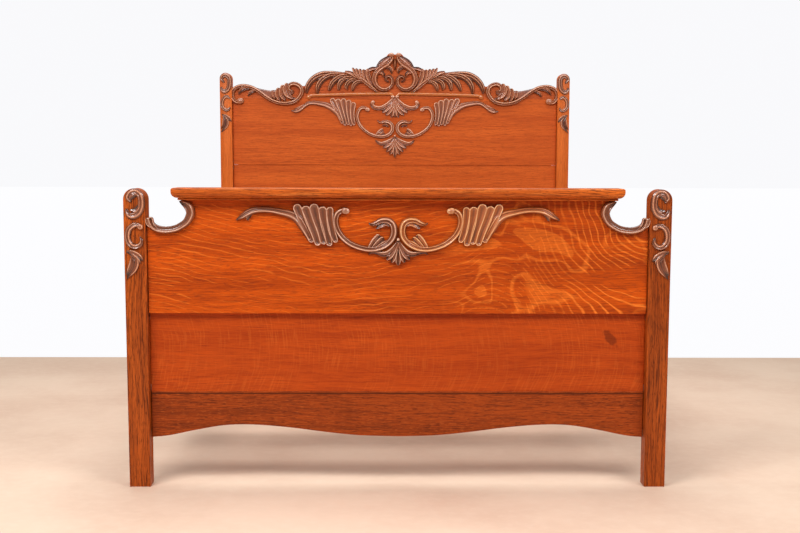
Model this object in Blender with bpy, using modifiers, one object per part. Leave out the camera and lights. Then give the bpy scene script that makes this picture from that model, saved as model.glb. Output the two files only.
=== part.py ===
"""Carved oak double bed: headboard, footboard, lift-off side rails and loose slats.

Metres, +Z up. The foot end faces -Y and the head end is at +Y. The origin is on the floor, at the
middle of the bed's outside length and width.
"""
import math

import bmesh
import bpy
from mathutils import Matrix, Vector

MM = 0.001
GAP = 0.3 * MM                      # left between pieces that touch
BIG = 0.2                           # how far a cutter runs past the piece that it trims

# Driving dimensions
BED_WIDTH = 1.480                   # over the outsides of the posts
BED_LENGTH = 2.050                  # cap nosing to the backs of the head posts
FOOT_FACE = -BED_LENGTH / 2 + 0.030     # front faces of the foot posts
HEAD_BACK = BED_LENGTH / 2
POST_DEPTH = 0.050
HEAD_FACE = HEAD_BACK - POST_DEPTH      # front faces of the head posts
HALF = BED_WIDTH / 2

FOOT_POST_WIDTH = 0.060
FOOT_POST_FOOT = 0.057              # the foot posts narrow a little to the floor
FOOT_POST_HEIGHT = 0.820
HEAD_POST_WIDTH = 0.050
HEAD_POST_HEIGHT = 1.265
POST_CHAMFER = 0.003

TONGUE = 0.012                      # how far a board's end tongue enters its post
TONGUE_THICK = 0.008
TONGUE_ROOT = 0.010                 # how far the tongue's mesh starts inside its board
SHOULDER = 0.020                    # a tongue stops this far from the board's edge
EDGE_TONGUE = 0.006                 # how far a panel's long edge enters its neighbour
EDGE_THICK = 0.005
EDGE_STOP = 0.020                   # a long edge's tongue stops this far from the board's ends
EDGE_PLAY = 0.001                   # its groove is this much deeper and longer
RAIL_GAP = 0.0015                   # shadow gap between a board and its post

# Footboard boards: distances behind the foot posts' faces, and heights
UPPER_SETBACK = 0.012
UPPER_THICK = 0.028
UPPER_BOTTOM = 0.481
UPPER_TOP = 0.7887
CORNER_BOTTOM = 0.711               # lowest point of the hollow in the board's top corner
CORNER_END = 0.731                  # where that hollow meets the post
LOWER_SETBACK = 0.028
LOWER_THICK = 0.012
APRON_THICK = 0.020
APRON_TOP = 0.262
APRON_BOTTOM = 0.134                # at the posts
RABBET = 0.010                      # lap of the upper board over the lower panel
BATTEN_HEIGHT = 0.070

CAP_HALF = 0.607
CAP_THICK = 0.027
CAP_BOTTOM = 0.795
CAP_DEPTH = 0.092
CAP_OVOLO = 0.016                   # round of the cap's lower edges
CAP_EASE = 0.006                    # round of its upper edges
FILLET_INSET = 0.0155               # the fillet's edges behind the cap's

# Headboard boards
PANEL_SETBACK = 0.022
PANEL_THICK = 0.022
LOWER_PANEL_THICK = 0.015
LOWER_PANEL_STEP = 0.003            # the lower panel's face behind the upper one's
HEAD_SEAM = 0.880
CREST_SEAM = 1.160
HEAD_RAIL_TOP = 0.335
HEAD_RAIL_BOTTOM = 0.215

# Sides
SIDE_THICK = 0.022
SIDE_BOTTOM = 0.230
SIDE_HEIGHT = 0.150
SIDE_CENTRE = HALF - 0.030          # the rails run on the foot posts' centre line
LEDGE = 0.027
RAIL_PLAY = 0.0005                  # at each end, between a rail and its post
LEDGE_STOP = 0.030                  # a ledge stops this far from its rail's ends
SLAT_COUNT = 5
SLAT_MARGIN = 0.200                 # from a rail's end to the first slat's middle
SLAT_WIDTH = 0.090
SLAT_THICK = 0.019
SLAT_PLAY = 0.008                   # end play between a slat and each rail

# Rail fasteners
PLATE_THICK = 0.003
PLATE_HEIGHT = 0.110
PLATE_IN_RAIL = 0.034
HOOK_REACH = 0.014
HOOK_ARM = 0.012
HOOK_BEAK = 0.006
HOOK_DROP = 0.012
HOOK_PITCH = 0.060
HOOK_LEAD = 0.003                   # lead-in at the hook's beak
HOOK_NOSE = 0.004                   # corner cut from the hook's upper tip
SLOT_PLAY = 0.002                   # clearance round the hooks in a post's slot
PIN_SETBACK = 0.004                 # a pin's centre behind the post's face
PIN_RADIUS = 0.002
PIN_LENGTH = 0.034
LIFT = 0.030                        # travel that clears the hooks from the pins

# Carvings: how far each stands off its board
FOOT_RELIEF = 0.011
PANEL_RELIEF = 0.009
CREST_RELIEF = 0.014
POST_RELIEF = 0.005

OAK = (0.52, 0.13, 0.022, 1)
OAK_POST = (0.36, 0.10, 0.022, 1)
OAK_CARVED = (0.16, 0.055, 0.022, 1)
OAK_INSIDE = (0.45, 0.22, 0.09, 1)
STEEL = (0.25, 0.24, 0.23, 1)


# ---------------------------------------------------------------- scene and helpers

def clear_scene():
    for obj in list(bpy.data.objects):
        bpy.data.objects.remove(obj, do_unlink=True)


def new_collection(name):
    made = bpy.data.collections.new(name)
    bpy.context.scene.collection.children.link(made)
    return made


def finish(name, colour, roughness, metallic=0.0):
    mat = bpy.data.materials.new(name)
    mat.use_nodes = True
    shader = mat.node_tree.nodes["Principled BSDF"]
    shader.inputs["Base Color"].default_value = colour
    shader.inputs["Roughness"].default_value = roughness
    shader.inputs["Metallic"].default_value = metallic
    mat.diffuse_color = colour
    return mat


def place(name, mesh, colour, roughness=0.45, metallic=0.0):
    """A finished piece: its own object, with its own material."""
    mesh.name = name
    obj = bpy.data.objects.new(name, mesh)
    mesh.materials.clear()
    mesh.materials.append(finish(name + "_finish", colour, roughness, metallic))
    parts.objects.link(obj)
    return obj


def place_cutter(name, mesh):
    obj = bpy.data.objects.new(name, mesh)
    cutters.objects.link(obj)
    obj.hide_render = True
    obj.display_type = "WIRE"
    return obj


def boolean(obj, other, operation):
    mod = obj.modifiers.new(operation.lower(), "BOOLEAN")
    mod.operation = operation
    mod.solver = "EXACT"
    mod.object = other
    return mod


def soften(obj, width):
    mod = obj.modifiers.new("eased_edges", "BEVEL")
    mod.width = width
    mod.segments = 1
    mod.limit_method = "ANGLE"
    mod.angle_limit = math.radians(50)
    return mod


def box_mesh(low, high):
    bm = bmesh.new()
    size = Vector(high) - Vector(low)
    middle = (Vector(high) + Vector(low)) / 2
    matrix = Matrix.Translation(middle) @ Matrix.Diagonal((*size, 1))
    bmesh.ops.create_cube(bm, size=1, matrix=matrix)
    mesh = bpy.data.meshes.new("box")
    bm.to_mesh(mesh)
    bm.free()
    return mesh


def rod_mesh(centre, radius, length):
    """A round rod along X."""
    bm = bmesh.new()
    turn = Matrix.Rotation(math.radians(90), 4, "Y")
    bmesh.ops.create_cone(bm, cap_ends=True, segments=12, radius1=radius, radius2=radius,
                          depth=length, matrix=Matrix.Translation(centre) @ turn)
    mesh = bpy.data.meshes.new("rod")
    bm.to_mesh(mesh)
    bm.free()
    return mesh


def mesh_of(curve, matrix):
    """The evaluated, welded mesh of a curve, with the matrix applied."""
    holder = bpy.data.objects.new("curve", curve)
    holder.matrix_world = matrix
    cutters.objects.link(holder)
    bpy.context.view_layer.update()
    graph = bpy.context.evaluated_depsgraph_get()
    mesh = bpy.data.meshes.new_from_object(holder.evaluated_get(graph))
    bm = bmesh.new()
    bm.from_mesh(mesh)
    bmesh.ops.remove_doubles(bm, verts=bm.verts, dist=0.01 * MM)
    bmesh.ops.transform(bm, matrix=matrix, verts=bm.verts)
    bmesh.ops.recalc_face_normals(bm, faces=bm.faces)
    bm.to_mesh(mesh)
    bm.free()
    bpy.data.objects.remove(holder, do_unlink=True)
    return mesh


def slab_mesh(outline, thick, matrix):
    """A flat outline, given as (across, up) points, as a slab centred on its own plane."""
    curve = bpy.data.curves.new("outline", "CURVE")
    curve.dimensions = "2D"
    curve.fill_mode = "BOTH"
    curve.extrude = thick / 2
    spline = curve.splines.new("POLY")
    spline.points.add(len(outline) - 1)
    for point, (across, up) in zip(spline.points, outline):
        point.co = (across, up, 0, 1)
    spline.use_cyclic_u = True
    return mesh_of(curve, matrix)


def front_slab(outline, front, thick):
    """A board seen from the foot end: its face at y = front, its back thick behind it."""
    upright = Matrix.Rotation(math.radians(90), 4, "X")
    return slab_mesh(outline, thick, Matrix.Translation((0, front + thick / 2, 0)) @ upright)


def side_slab(outline, x, thick):
    """A plate seen from the side: the outline is (y, z)."""
    turned = Matrix(((0, 0, 1, x), (1, 0, 0, 0), (0, 1, 0, 0), (0, 0, 0, 1)))
    return slab_mesh(outline, thick, turned)


def arc(cx, cz, radius, start, end, steps):
    """Points along an arc, angles in degrees from +across towards up."""
    angles = [math.radians(start + (end - start) * i / steps) for i in range(steps + 1)]
    return [(cx + radius * math.cos(a), cz + radius * math.sin(a)) for a in angles]


def smooth_line(points, steps):
    """Points along a Catmull-Rom line through the given ones."""
    ends = [points[0]] + list(points) + [points[-1]]
    line = []
    for i in range(len(points) - 1):
        p0, p1, p2, p3 = [Vector(p) for p in ends[i:i + 4]]
        for k in range(steps):
            t = k / steps
            line.append(0.5 * (2 * p1 + (p2 - p0) * t + (2 * p0 - 5 * p1 + 4 * p2 - p3) * t ** 2
                               + (3 * p1 - p0 - 3 * p2 + p3) * t ** 3))
    line.append(Vector(points[-1]))
    return line


def mirrored(points):
    return [(-p[0], *p[1:]) for p in points]


def flip_x(mesh):
    """The mesh's mirror image across the bed's middle."""
    copy = mesh.copy()
    bm = bmesh.new()
    bm.from_mesh(copy)
    bmesh.ops.scale(bm, vec=(-1, 1, 1), verts=bm.verts)
    bmesh.ops.reverse_faces(bm, faces=bm.faces)
    bm.to_mesh(copy)
    bm.free()
    return copy


# ---------------------------------------------------------------- posts

def post_outline(width, foot_width, height):
    """Half-round top, straight outside, inside face narrowing to the floor."""
    radius = width / 2
    inside = HALF - width
    top = arc(HALF - radius, height - radius, radius, 0, 180, 16)
    return [(HALF - (width - foot_width) / 2, 0), *top, (inside + (width - foot_width) / 2, 0)]


def mortise(post, side, inside, front, thick, low, high):
    """A slot in a post's inner face for a board's end tongue."""
    near = side * (inside - TONGUE)
    far = side * (inside + TONGUE + GAP)
    mesh = box_mesh((min(near, far), front - GAP, low - GAP),
                    (max(near, far), front + thick + GAP, high + GAP))
    boolean(post, place_cutter(post.name + "_mortise", mesh), "DIFFERENCE")


def hook_heights():
    middle = SIDE_BOTTOM + SIDE_HEIGHT / 2
    return middle - HOOK_PITCH / 2, middle + HOOK_PITCH / 2


def fastener_slot(post, side, face, inward):
    """The slot for a rail's hooks, and the cross holes for its two pins."""
    centre = side * SIDE_CENTRE
    low, high = hook_heights()
    depth = (HOOK_REACH + SLOT_PLAY) * inward
    outside = face - inward * HOOK_REACH
    top = high + HOOK_ARM + LIFT + 2 * SLOT_PLAY
    bottom = low - HOOK_DROP - SLOT_PLAY
    half = PLATE_THICK / 2 + SLOT_PLAY / 4
    mesh = box_mesh((centre - half, min(outside, face + depth), bottom),
                    (centre + half, max(outside, face + depth), top))
    boolean(post, place_cutter(post.name + "_hook_slot", mesh), "DIFFERENCE")
    for z in (low, high):
        hole = rod_mesh(pin_centre(side, face, inward, z), PIN_RADIUS + GAP, PIN_LENGTH + 2 * GAP)
        boolean(post, place_cutter(post.name + "_pin_hole", hole), "DIFFERENCE")


def pin_centre(side, face, inward, z):
    return side * SIDE_CENTRE, face + inward * PIN_SETBACK, z


def foot_post(side_name, side):
    outline = post_outline(FOOT_POST_WIDTH, FOOT_POST_FOOT, FOOT_POST_HEIGHT)
    mesh = front_slab(outline, FOOT_FACE, POST_DEPTH)
    post = place("foot_post_" + side_name, mesh if side > 0 else flip_x(mesh), OAK_POST)
    soften(post, POST_CHAMFER)
    inside = HALF - FOOT_POST_WIDTH
    for front, low, high in foot_tongues():
        mortise(post, side, inside, front, TONGUE_THICK, low, high)
    fastener_slot(post, side, FOOT_FACE + POST_DEPTH, -1)


def head_post(side_name, side):
    outline = post_outline(HEAD_POST_WIDTH, HEAD_POST_WIDTH, HEAD_POST_HEIGHT)
    mesh = front_slab(outline, HEAD_FACE, POST_DEPTH)
    post = place("head_post_" + side_name, mesh if side > 0 else flip_x(mesh), OAK_POST)
    soften(post, POST_CHAMFER)
    inside = HALF - HEAD_POST_WIDTH
    for front, low, high in head_tongues():
        mortise(post, side, inside, front, TONGUE_THICK, low, high)
    fastener_slot(post, side, HEAD_FACE, 1)


# ---------------------------------------------------------------- boards with end tongues

def foot_tongues():
    """(front, low, high) of the tongues of the upper board, the lower panel and the apron."""
    upper = FOOT_FACE + UPPER_SETBACK + (UPPER_THICK - TONGUE_THICK) / 2
    lower = FOOT_FACE + LOWER_SETBACK + (LOWER_THICK - TONGUE_THICK) / 2
    apron = FOOT_FACE + LOWER_SETBACK + (APRON_THICK - TONGUE_THICK) / 2
    return ((upper, UPPER_BOTTOM + SHOULDER, CORNER_BOTTOM - SHOULDER),
            (lower, APRON_TOP + SHOULDER, UPPER_BOTTOM - SHOULDER),
            (apron, APRON_BOTTOM + SHOULDER, APRON_TOP - SHOULDER))


def head_tongues():
    """The same for the headboard: crest board, upper panel, lower panel and bottom rail."""
    front = HEAD_FACE + PANEL_SETBACK + (PANEL_THICK - TONGUE_THICK) / 2
    return ((front, CREST_SEAM + EDGE_TONGUE, CREST_SEAM + SHOULDER),
            (front, HEAD_SEAM + SHOULDER, CREST_SEAM - SHOULDER),
            (front, HEAD_RAIL_TOP + SHOULDER, HEAD_SEAM - SHOULDER),
            (front, HEAD_RAIL_BOTTOM + SHOULDER, HEAD_RAIL_TOP - SHOULDER))


def add_tongues(board, half, front, low, high):
    """A tongue at each end of the board, joined to it."""
    root = half - TONGUE_ROOT
    reach = half + RAIL_GAP + TONGUE
    for x1, x2 in ((-reach, -root), (root, reach)):
        mesh = box_mesh((x1, front, low), (x2, front + TONGUE_THICK, high))
        boolean(board, place_cutter(board.name + "_tongue", mesh), "UNION")


def edge_tongue(board, half, front, low, high):
    """A long tongue on a panel's edge, or through the panel to both of its edges."""
    mesh = box_mesh((EDGE_STOP - half, front, low), (half - EDGE_STOP, front + EDGE_THICK, high))
    boolean(board, place_cutter(board.name + "_edge_tongue", mesh), "UNION")


def edge_groove(board, half, front, low, high):
    """The groove that takes a neighbour's edge tongue."""
    end = half - EDGE_STOP + EDGE_PLAY
    mesh = box_mesh((-end, front - GAP, low), (end, front + EDGE_THICK + GAP, high))
    boolean(board, place_cutter(board.name + "_groove", mesh), "DIFFERENCE")


def corner_cut():
    """The hollow at the footboard's top corner, from under the cap round to the post."""
    knots = [(0.588, UPPER_TOP), (0.578, 0.777), (0.572, 0.759), (0.577, 0.741), (0.592, 0.7235),
             (0.616, 0.713), (0.640, CORNER_BOTTOM), (0.657, 0.717), (0.666, CORNER_END)]
    return [tuple(p) for p in smooth_line(knots, 3)] + [(board_half(FOOT_POST_WIDTH), CORNER_END)]


def board_half(post_width):
    return HALF - post_width - RAIL_GAP


def foot_upper_board():
    half = board_half(FOOT_POST_WIDTH)
    right = [(half, UPPER_BOTTOM)] + corner_cut()[::-1]
    outline = right + mirrored(right)[::-1]
    front = FOOT_FACE + UPPER_SETBACK
    board = place("foot_upper_board", front_slab(outline, front, UPPER_THICK), OAK)
    tongue_front, low, high = foot_tongues()[0]
    add_tongues(board, half, tongue_front, low, high)
    lap = FOOT_FACE + LOWER_SETBACK - GAP
    mesh = box_mesh((-HALF, lap, UPPER_BOTTOM - BIG), (HALF, lap + BIG, UPPER_BOTTOM + RABBET + GAP))
    boolean(board, place_cutter("upper_board_rabbet", mesh), "DIFFERENCE")


def foot_lower_panel():
    half = board_half(FOOT_POST_WIDTH)
    front = FOOT_FACE + LOWER_SETBACK
    low = APRON_TOP + GAP
    mesh = box_mesh((-half, front, low), (half, front + LOWER_THICK, UPPER_BOTTOM + RABBET))
    panel = place("foot_lower_panel", mesh, OAK)
    tongue_front, bottom, top = foot_tongues()[1]
    add_tongues(panel, half, tongue_front, bottom, top)
    edge_tongue(panel, half, lower_edge_front(), low - EDGE_TONGUE, low + EDGE_TONGUE)


def lower_edge_front():
    """The front of the tongue between the footboard's lower panel and its apron."""
    return FOOT_FACE + LOWER_SETBACK + (LOWER_THICK - EDGE_THICK) / 2


def foot_apron():
    """The bottom board, whose lower edge is a shallow double wave."""
    half = board_half(FOOT_POST_WIDTH)
    wave = [(0.0, 0.136), (0.100, 0.1385), (0.190, 0.147), (0.300, 0.161), (0.400, 0.169),
            (0.480, 0.167), (0.560, 0.1535), (0.630, 0.139), (half, APRON_BOTTOM)]
    right = [tuple(p) for p in smooth_line(wave, 5)] + [(half, APRON_TOP)]
    outline = mirrored(right[1:])[::-1] + right
    front = FOOT_FACE + LOWER_SETBACK
    apron = place("foot_apron", front_slab(outline, front, APRON_THICK), OAK)
    tongue_front, low, high = foot_tongues()[2]
    add_tongues(apron, half, tongue_front, low, high)
    depth = EDGE_TONGUE + EDGE_PLAY
    edge_groove(apron, half, lower_edge_front(), APRON_TOP - depth, APRON_TOP + depth)


def foot_batten():
    """The strip across the back, over the joint of the upper board and the lower panel."""
    half = board_half(FOOT_POST_WIDTH)
    front = FOOT_FACE + UPPER_SETBACK + UPPER_THICK + GAP
    middle = UPPER_BOTTOM + RABBET
    mesh = box_mesh((-half, front, middle - BATTEN_HEIGHT / 2),
                    (half, FOOT_FACE + POST_DEPTH, middle + BATTEN_HEIGHT / 2))
    soften(place("foot_back_batten", mesh, OAK_INSIDE, 0.6), 1.5 * MM)


def nosing(edge):
    """The cap's edge, from its flat underside out round the ovolo and up to its top."""
    top = CAP_BOTTOM + CAP_THICK
    ovolo = arc(edge - CAP_OVOLO, CAP_BOTTOM + CAP_OVOLO, CAP_OVOLO, -90, 0, 8)
    return ovolo + arc(edge - CAP_EASE, top - CAP_EASE, CAP_EASE, 0, 90, 4)


def foot_cap():
    """The flat cap with its nosing run along the front, back and ends, and the fillet under it."""
    centre = (CAP_DEPTH - BED_LENGTH) / 2
    section = nosing(CAP_DEPTH / 2) + mirrored(nosing(CAP_DEPTH / 2))[::-1]
    mesh = side_slab([(centre + y, z) for y, z in section], 0, 2 * CAP_HALF)
    cap = place("foot_cap_rail", mesh, OAK_POST, 0.38)
    outline = nosing(CAP_HALF) + mirrored(nosing(CAP_HALF))[::-1]
    ends = front_slab(outline, centre - CAP_DEPTH, 2 * CAP_DEPTH)
    boolean(cap, place_cutter("cap_ends", ends), "INTERSECT")
    half, half_depth = CAP_HALF - FILLET_INSET, CAP_DEPTH / 2 - FILLET_INSET
    mesh = box_mesh((-half, centre - half_depth, UPPER_TOP + GAP),
                    (half, centre + half_depth, CAP_BOTTOM - GAP))
    soften(place("foot_cap_fillet", mesh, OAK_POST), 1.5 * MM)


def crest_outline():
    """The crest's upper edge, from the post to the middle."""
    return [(0.6885, 1.186), (0.668, 1.200), (0.640, 1.212), (0.604, 1.208), (0.560, 1.186),
            (0.515, 1.170), (0.480, 1.172), (0.453, 1.194), (0.430, 1.222), (0.405, 1.218),
            (0.384, 1.212), (0.355, 1.238), (0.310, 1.259), (0.250, 1.267), (0.190, 1.269),
            (0.130, 1.279), (0.095, 1.290), (0.066, 1.300), (0.042, 1.330), (0.022, 1.350),
            (0.0, 1.344)]


def head_boards():
    """The crest board, upper panel, lower panel and bottom rail between the head posts."""
    half = board_half(HEAD_POST_WIDTH)
    front = HEAD_FACE + PANEL_SETBACK
    tongues = head_tongues()

    right = [(half, CREST_SEAM + GAP)] + [tuple(p) for p in smooth_line(crest_outline(), 3)]
    right[1] = (half, right[1][1])
    outline = right + mirrored(right[:-1])[::-1]
    crest = place("head_crest_board", front_slab(outline, front, PANEL_THICK), OAK)
    add_tongues(crest, half, *tongues[0])

    mesh = box_mesh((-half, front, HEAD_SEAM + GAP), (half, front + PANEL_THICK, CREST_SEAM))
    upper = place("head_upper_panel", mesh, OAK)
    add_tongues(upper, half, *tongues[1])
    set_back = front + LOWER_PANEL_STEP
    edge_front = set_back + (LOWER_PANEL_THICK - EDGE_THICK) / 2
    depth = EDGE_TONGUE + EDGE_PLAY
    edge_groove(upper, half, edge_front, HEAD_SEAM - depth, HEAD_SEAM + depth + GAP)

    mesh = box_mesh((-half, set_back, HEAD_RAIL_TOP + GAP),
                    (half, set_back + LOWER_PANEL_THICK, HEAD_SEAM))
    lower = place("head_lower_panel", mesh, OAK)
    add_tongues(lower, half, *tongues[2])
    edge_tongue(lower, half, edge_front, HEAD_RAIL_TOP + GAP - EDGE_TONGUE,
                HEAD_SEAM + EDGE_TONGUE)

    mesh = box_mesh((-half, front, HEAD_RAIL_BOTTOM), (half, front + PANEL_THICK, HEAD_RAIL_TOP))
    rail = place("head_bottom_rail", mesh, OAK)
    add_tongues(rail, half, *tongues[3])
    edge_groove(rail, half, edge_front, HEAD_RAIL_TOP - depth, HEAD_RAIL_TOP + depth)


# ---------------------------------------------------------------- carvings

def stroke_mesh(stroke, flatness, y):
    """One carver's stroke: a tapering round bar along (x, z, half-width) knots in millimetres."""
    line = smooth_line([(x * MM, z * MM, r * MM) for x, z, r in stroke], 1)
    curve = bpy.data.curves.new("stroke", "CURVE")
    curve.dimensions = "3D"
    curve.bevel_depth = 1.0
    curve.bevel_resolution = 1
    curve.use_fill_caps = True
    spline = curve.splines.new("POLY")
    spline.points.add(len(line) - 1)
    for point, (x, z, radius) in zip(spline.points, line):
        point.co = (x, 0, z, 1)
        point.radius = radius
    squeeze = Matrix.Translation((0, y, 0)) @ Matrix.Diagonal((1, flatness, 1, 1))
    return mesh_of(curve, squeeze)


def carving(name, strokes, board_front, relief, both_halves=False):
    """Strokes fused into one relief that lies on the board, with a flat back."""
    widest = max(r for stroke in strokes for _, _, r in stroke) * MM
    middle = board_front - GAP - relief * 0.35
    flatness = relief * 0.65 / widest
    drawn = strokes + [mirrored(s) for s in strokes] if both_halves else strokes
    bm = bmesh.new()
    for index, stroke in enumerate(drawn):
        lean = 0.1 * MM * (index % 5)
        bm.from_mesh(stroke_mesh(stroke, flatness, middle - lean))
    mesh = bpy.data.meshes.new(name)
    bm.to_mesh(mesh)
    bm.free()
    fused = bpy.data.objects.new(name + "_strokes", mesh)
    cutters.objects.link(fused)
    back = board_front - GAP
    slab = place_cutter(name + "_back", box_mesh((-HALF, back, 0), (HALF, back + BIG, 2)))
    boolean(fused, slab, "DIFFERENCE").use_self = True
    bpy.context.view_layer.update()
    graph = bpy.context.evaluated_depsgraph_get()
    result = bpy.data.meshes.new_from_object(fused.evaluated_get(graph))
    bpy.data.objects.remove(fused, do_unlink=True)
    bpy.data.objects.remove(slab, do_unlink=True)
    return result


def carved_pair(name, strokes, board_front, relief):
    mesh = carving(name, strokes, board_front, relief)
    place(name + "_right", mesh, OAK_CARVED, 0.4)
    place(name + "_left", flip_x(mesh), OAK_CARVED, 0.4)


def carved_centre(name, strokes, board_front, relief):
    place(name, carving(name, strokes, board_front, relief, True), OAK_CARVED, 0.4)


def foot_carvings():
    face = FOOT_FACE + UPPER_SETBACK
    scroll = [
        [(138, 764, 5), (154, 765, 6), (168, 755, 7), (173, 735, 7), (166, 710, 7), (148, 686, 6),
         (120, 670, 6), (88, 661, 6), (56, 664, 6), (30, 680, 7), (14, 704, 7), (20, 731, 7),
         (38, 737, 6), (56, 731, 5), (78, 728, 3)],
        [(78, 662, 5), (66, 676, 7), (53, 690, 6)]]
    drop = [
        [(0, 684, 6), (0, 660, 8), (0, 640, 10), (0, 613, 2)],
        [(4, 671, 4), (9, 652, 7), (19, 625, 2)],
        [(5, 671, 4), (16, 653, 7), (27, 630, 2)],
        [(4, 673, 4), (22, 656, 7), (46, 645, 6), (77, 648, 2)]]
    carved_centre("foot_drop_leaf", drop, face, FOOT_RELIEF)
    spray = [
        [(240, 672, 4), (256, 711, 6), (275, 730, 6), (300, 747, 6), (330, 760, 6),
         (368, 766, 6), (403, 760, 7), (434, 739, 3)],
        [(184, 762, 6), (184, 740, 7), (170, 690, 5)],
        [(204, 767, 8), (206, 742, 8), (188, 684, 4)],
        [(242, 771, 9), (232, 744, 9), (202, 680, 5)],
        [(282, 768, 8), (262, 744, 9), (226, 678, 5)],
        [(182, 728, 5), (208, 732, 6), (236, 734, 6), (262, 738, 6)]]
    carved_pair("foot_scroll_branch", scroll + spray, face, FOOT_RELIEF)
    corner = [[(578, 783, 3), (566, 774, 9), (563, 762, 11), (567, 745, 12), (580, 730, 10),
               (602, 717, 8), (624, 711, 8), (646, 709, 8), (661, 716, 9), (669, 729, 8)]]
    carved_pair("foot_corner_scroll", corner, face, FOOT_RELIEF)
    post = [
        [(722, 785, 3), (722, 806, 5), (708, 816, 5), (692, 806, 5), (687, 780, 5), (692, 755, 5),
         (708, 743, 5), (724, 746, 4), (732, 760, 3)],
        [(692, 719, 4), (708, 726, 4), (724, 716, 5), (732, 692, 5), (726, 668, 5), (708, 660, 5),
         (690, 670, 4), (693, 687, 3)],
        [(710, 668, 3), (722, 648, 4), (708, 634, 6), (708, 612, 8), (730, 580, 2)],
        [(712, 650, 4), (692, 626, 3)],
        [(714, 744, 4), (712, 724, 4)]]
    carved_pair("foot_post_carving", post, FOOT_FACE, POST_RELIEF)


def head_carvings():
    face = HEAD_FACE + PANEL_SETBACK
    scroll = [
        [(112, 1110, 5), (128, 1118, 6), (146, 1110, 6), (155, 1090, 6), (150, 1062, 6),
         (132, 1034, 6), (104, 1010, 6), (70, 993, 6), (40, 991, 7), (16, 1008, 8),
         (10, 1032, 8), (18, 1049, 7), (36, 1053, 6), (66, 1056, 3)],
        [(82, 998, 4), (70, 1010, 6), (56, 1020, 6)]]
    top_leaf = [
        [(0, 1158, 7), (0, 1120, 10), (0, 1088, 8), (0, 1061, 3)],
        [(4, 1146, 5), (20, 1116, 9), (42, 1092, 3)],
        [(3, 1136, 4), (12, 1100, 8), (34, 1078, 3)],
        [(4, 1152, 4), (26, 1122, 8), (58, 1111, 7), (84, 1118, 6), (94, 1134, 5), (84, 1142, 3)]]
    carved_centre("head_top_leaf", top_leaf, face, PANEL_RELIEF)
    drop = [
        [(0, 984, 6), (0, 956, 10), (0, 936, 9), (0, 908, 2)],
        [(3, 978, 4), (12, 952, 8), (30, 937, 3)],
        [(4, 980, 4), (22, 964, 7), (45, 954, 2)],
        [(3, 982, 4), (20, 978, 5), (44, 971, 7), (64, 971, 6), (80, 983, 3)]]
    carved_centre("head_drop_leaf", drop, face, PANEL_RELIEF)
    spray = [
        [(209, 1034, 4), (227, 1078, 7), (250, 1103, 8), (280, 1122, 8), (318, 1134, 7),
         (362, 1132, 7), (402, 1106, 8), (434, 1102, 2)],
        [(158, 1128, 7), (162, 1092, 8), (160, 1048, 4)],
        [(178, 1136, 9), (180, 1098, 9), (176, 1042, 5)],
        [(212, 1146, 11), (204, 1104, 10), (190, 1042, 5)],
        [(252, 1148, 12), (230, 1110, 11), (204, 1044, 5)],
        [(162, 1094, 6), (206, 1098, 7), (230, 1100, 7)]]
    carved_pair("head_scroll_branch", scroll + spray, face, PANEL_RELIEF)
    bead = [[(26, 1179, 5), (120, 1178, 5), (240, 1176, 5), (352, 1170, 6)]]
    carved_pair("head_bead", bead, face, PANEL_RELIEF)
    post = [
        [(727, 1229, 3), (734, 1247, 5), (718, 1259, 6), (700, 1250, 6), (695, 1222, 7),
         (703, 1194, 7), (722, 1182, 7), (735, 1194, 5)],
        [(696, 1162, 5), (718, 1168, 6), (732, 1150, 7), (733, 1124, 7), (718, 1101, 7),
         (700, 1100, 6), (695, 1116, 4)],
        [(712, 1106, 4), (714, 1080, 7), (712, 1056, 8), (732, 1022, 2)],
        [(714, 1186, 6), (712, 1164, 5)]]
    carved_pair("head_post_carving", post, HEAD_FACE, POST_RELIEF)


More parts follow.
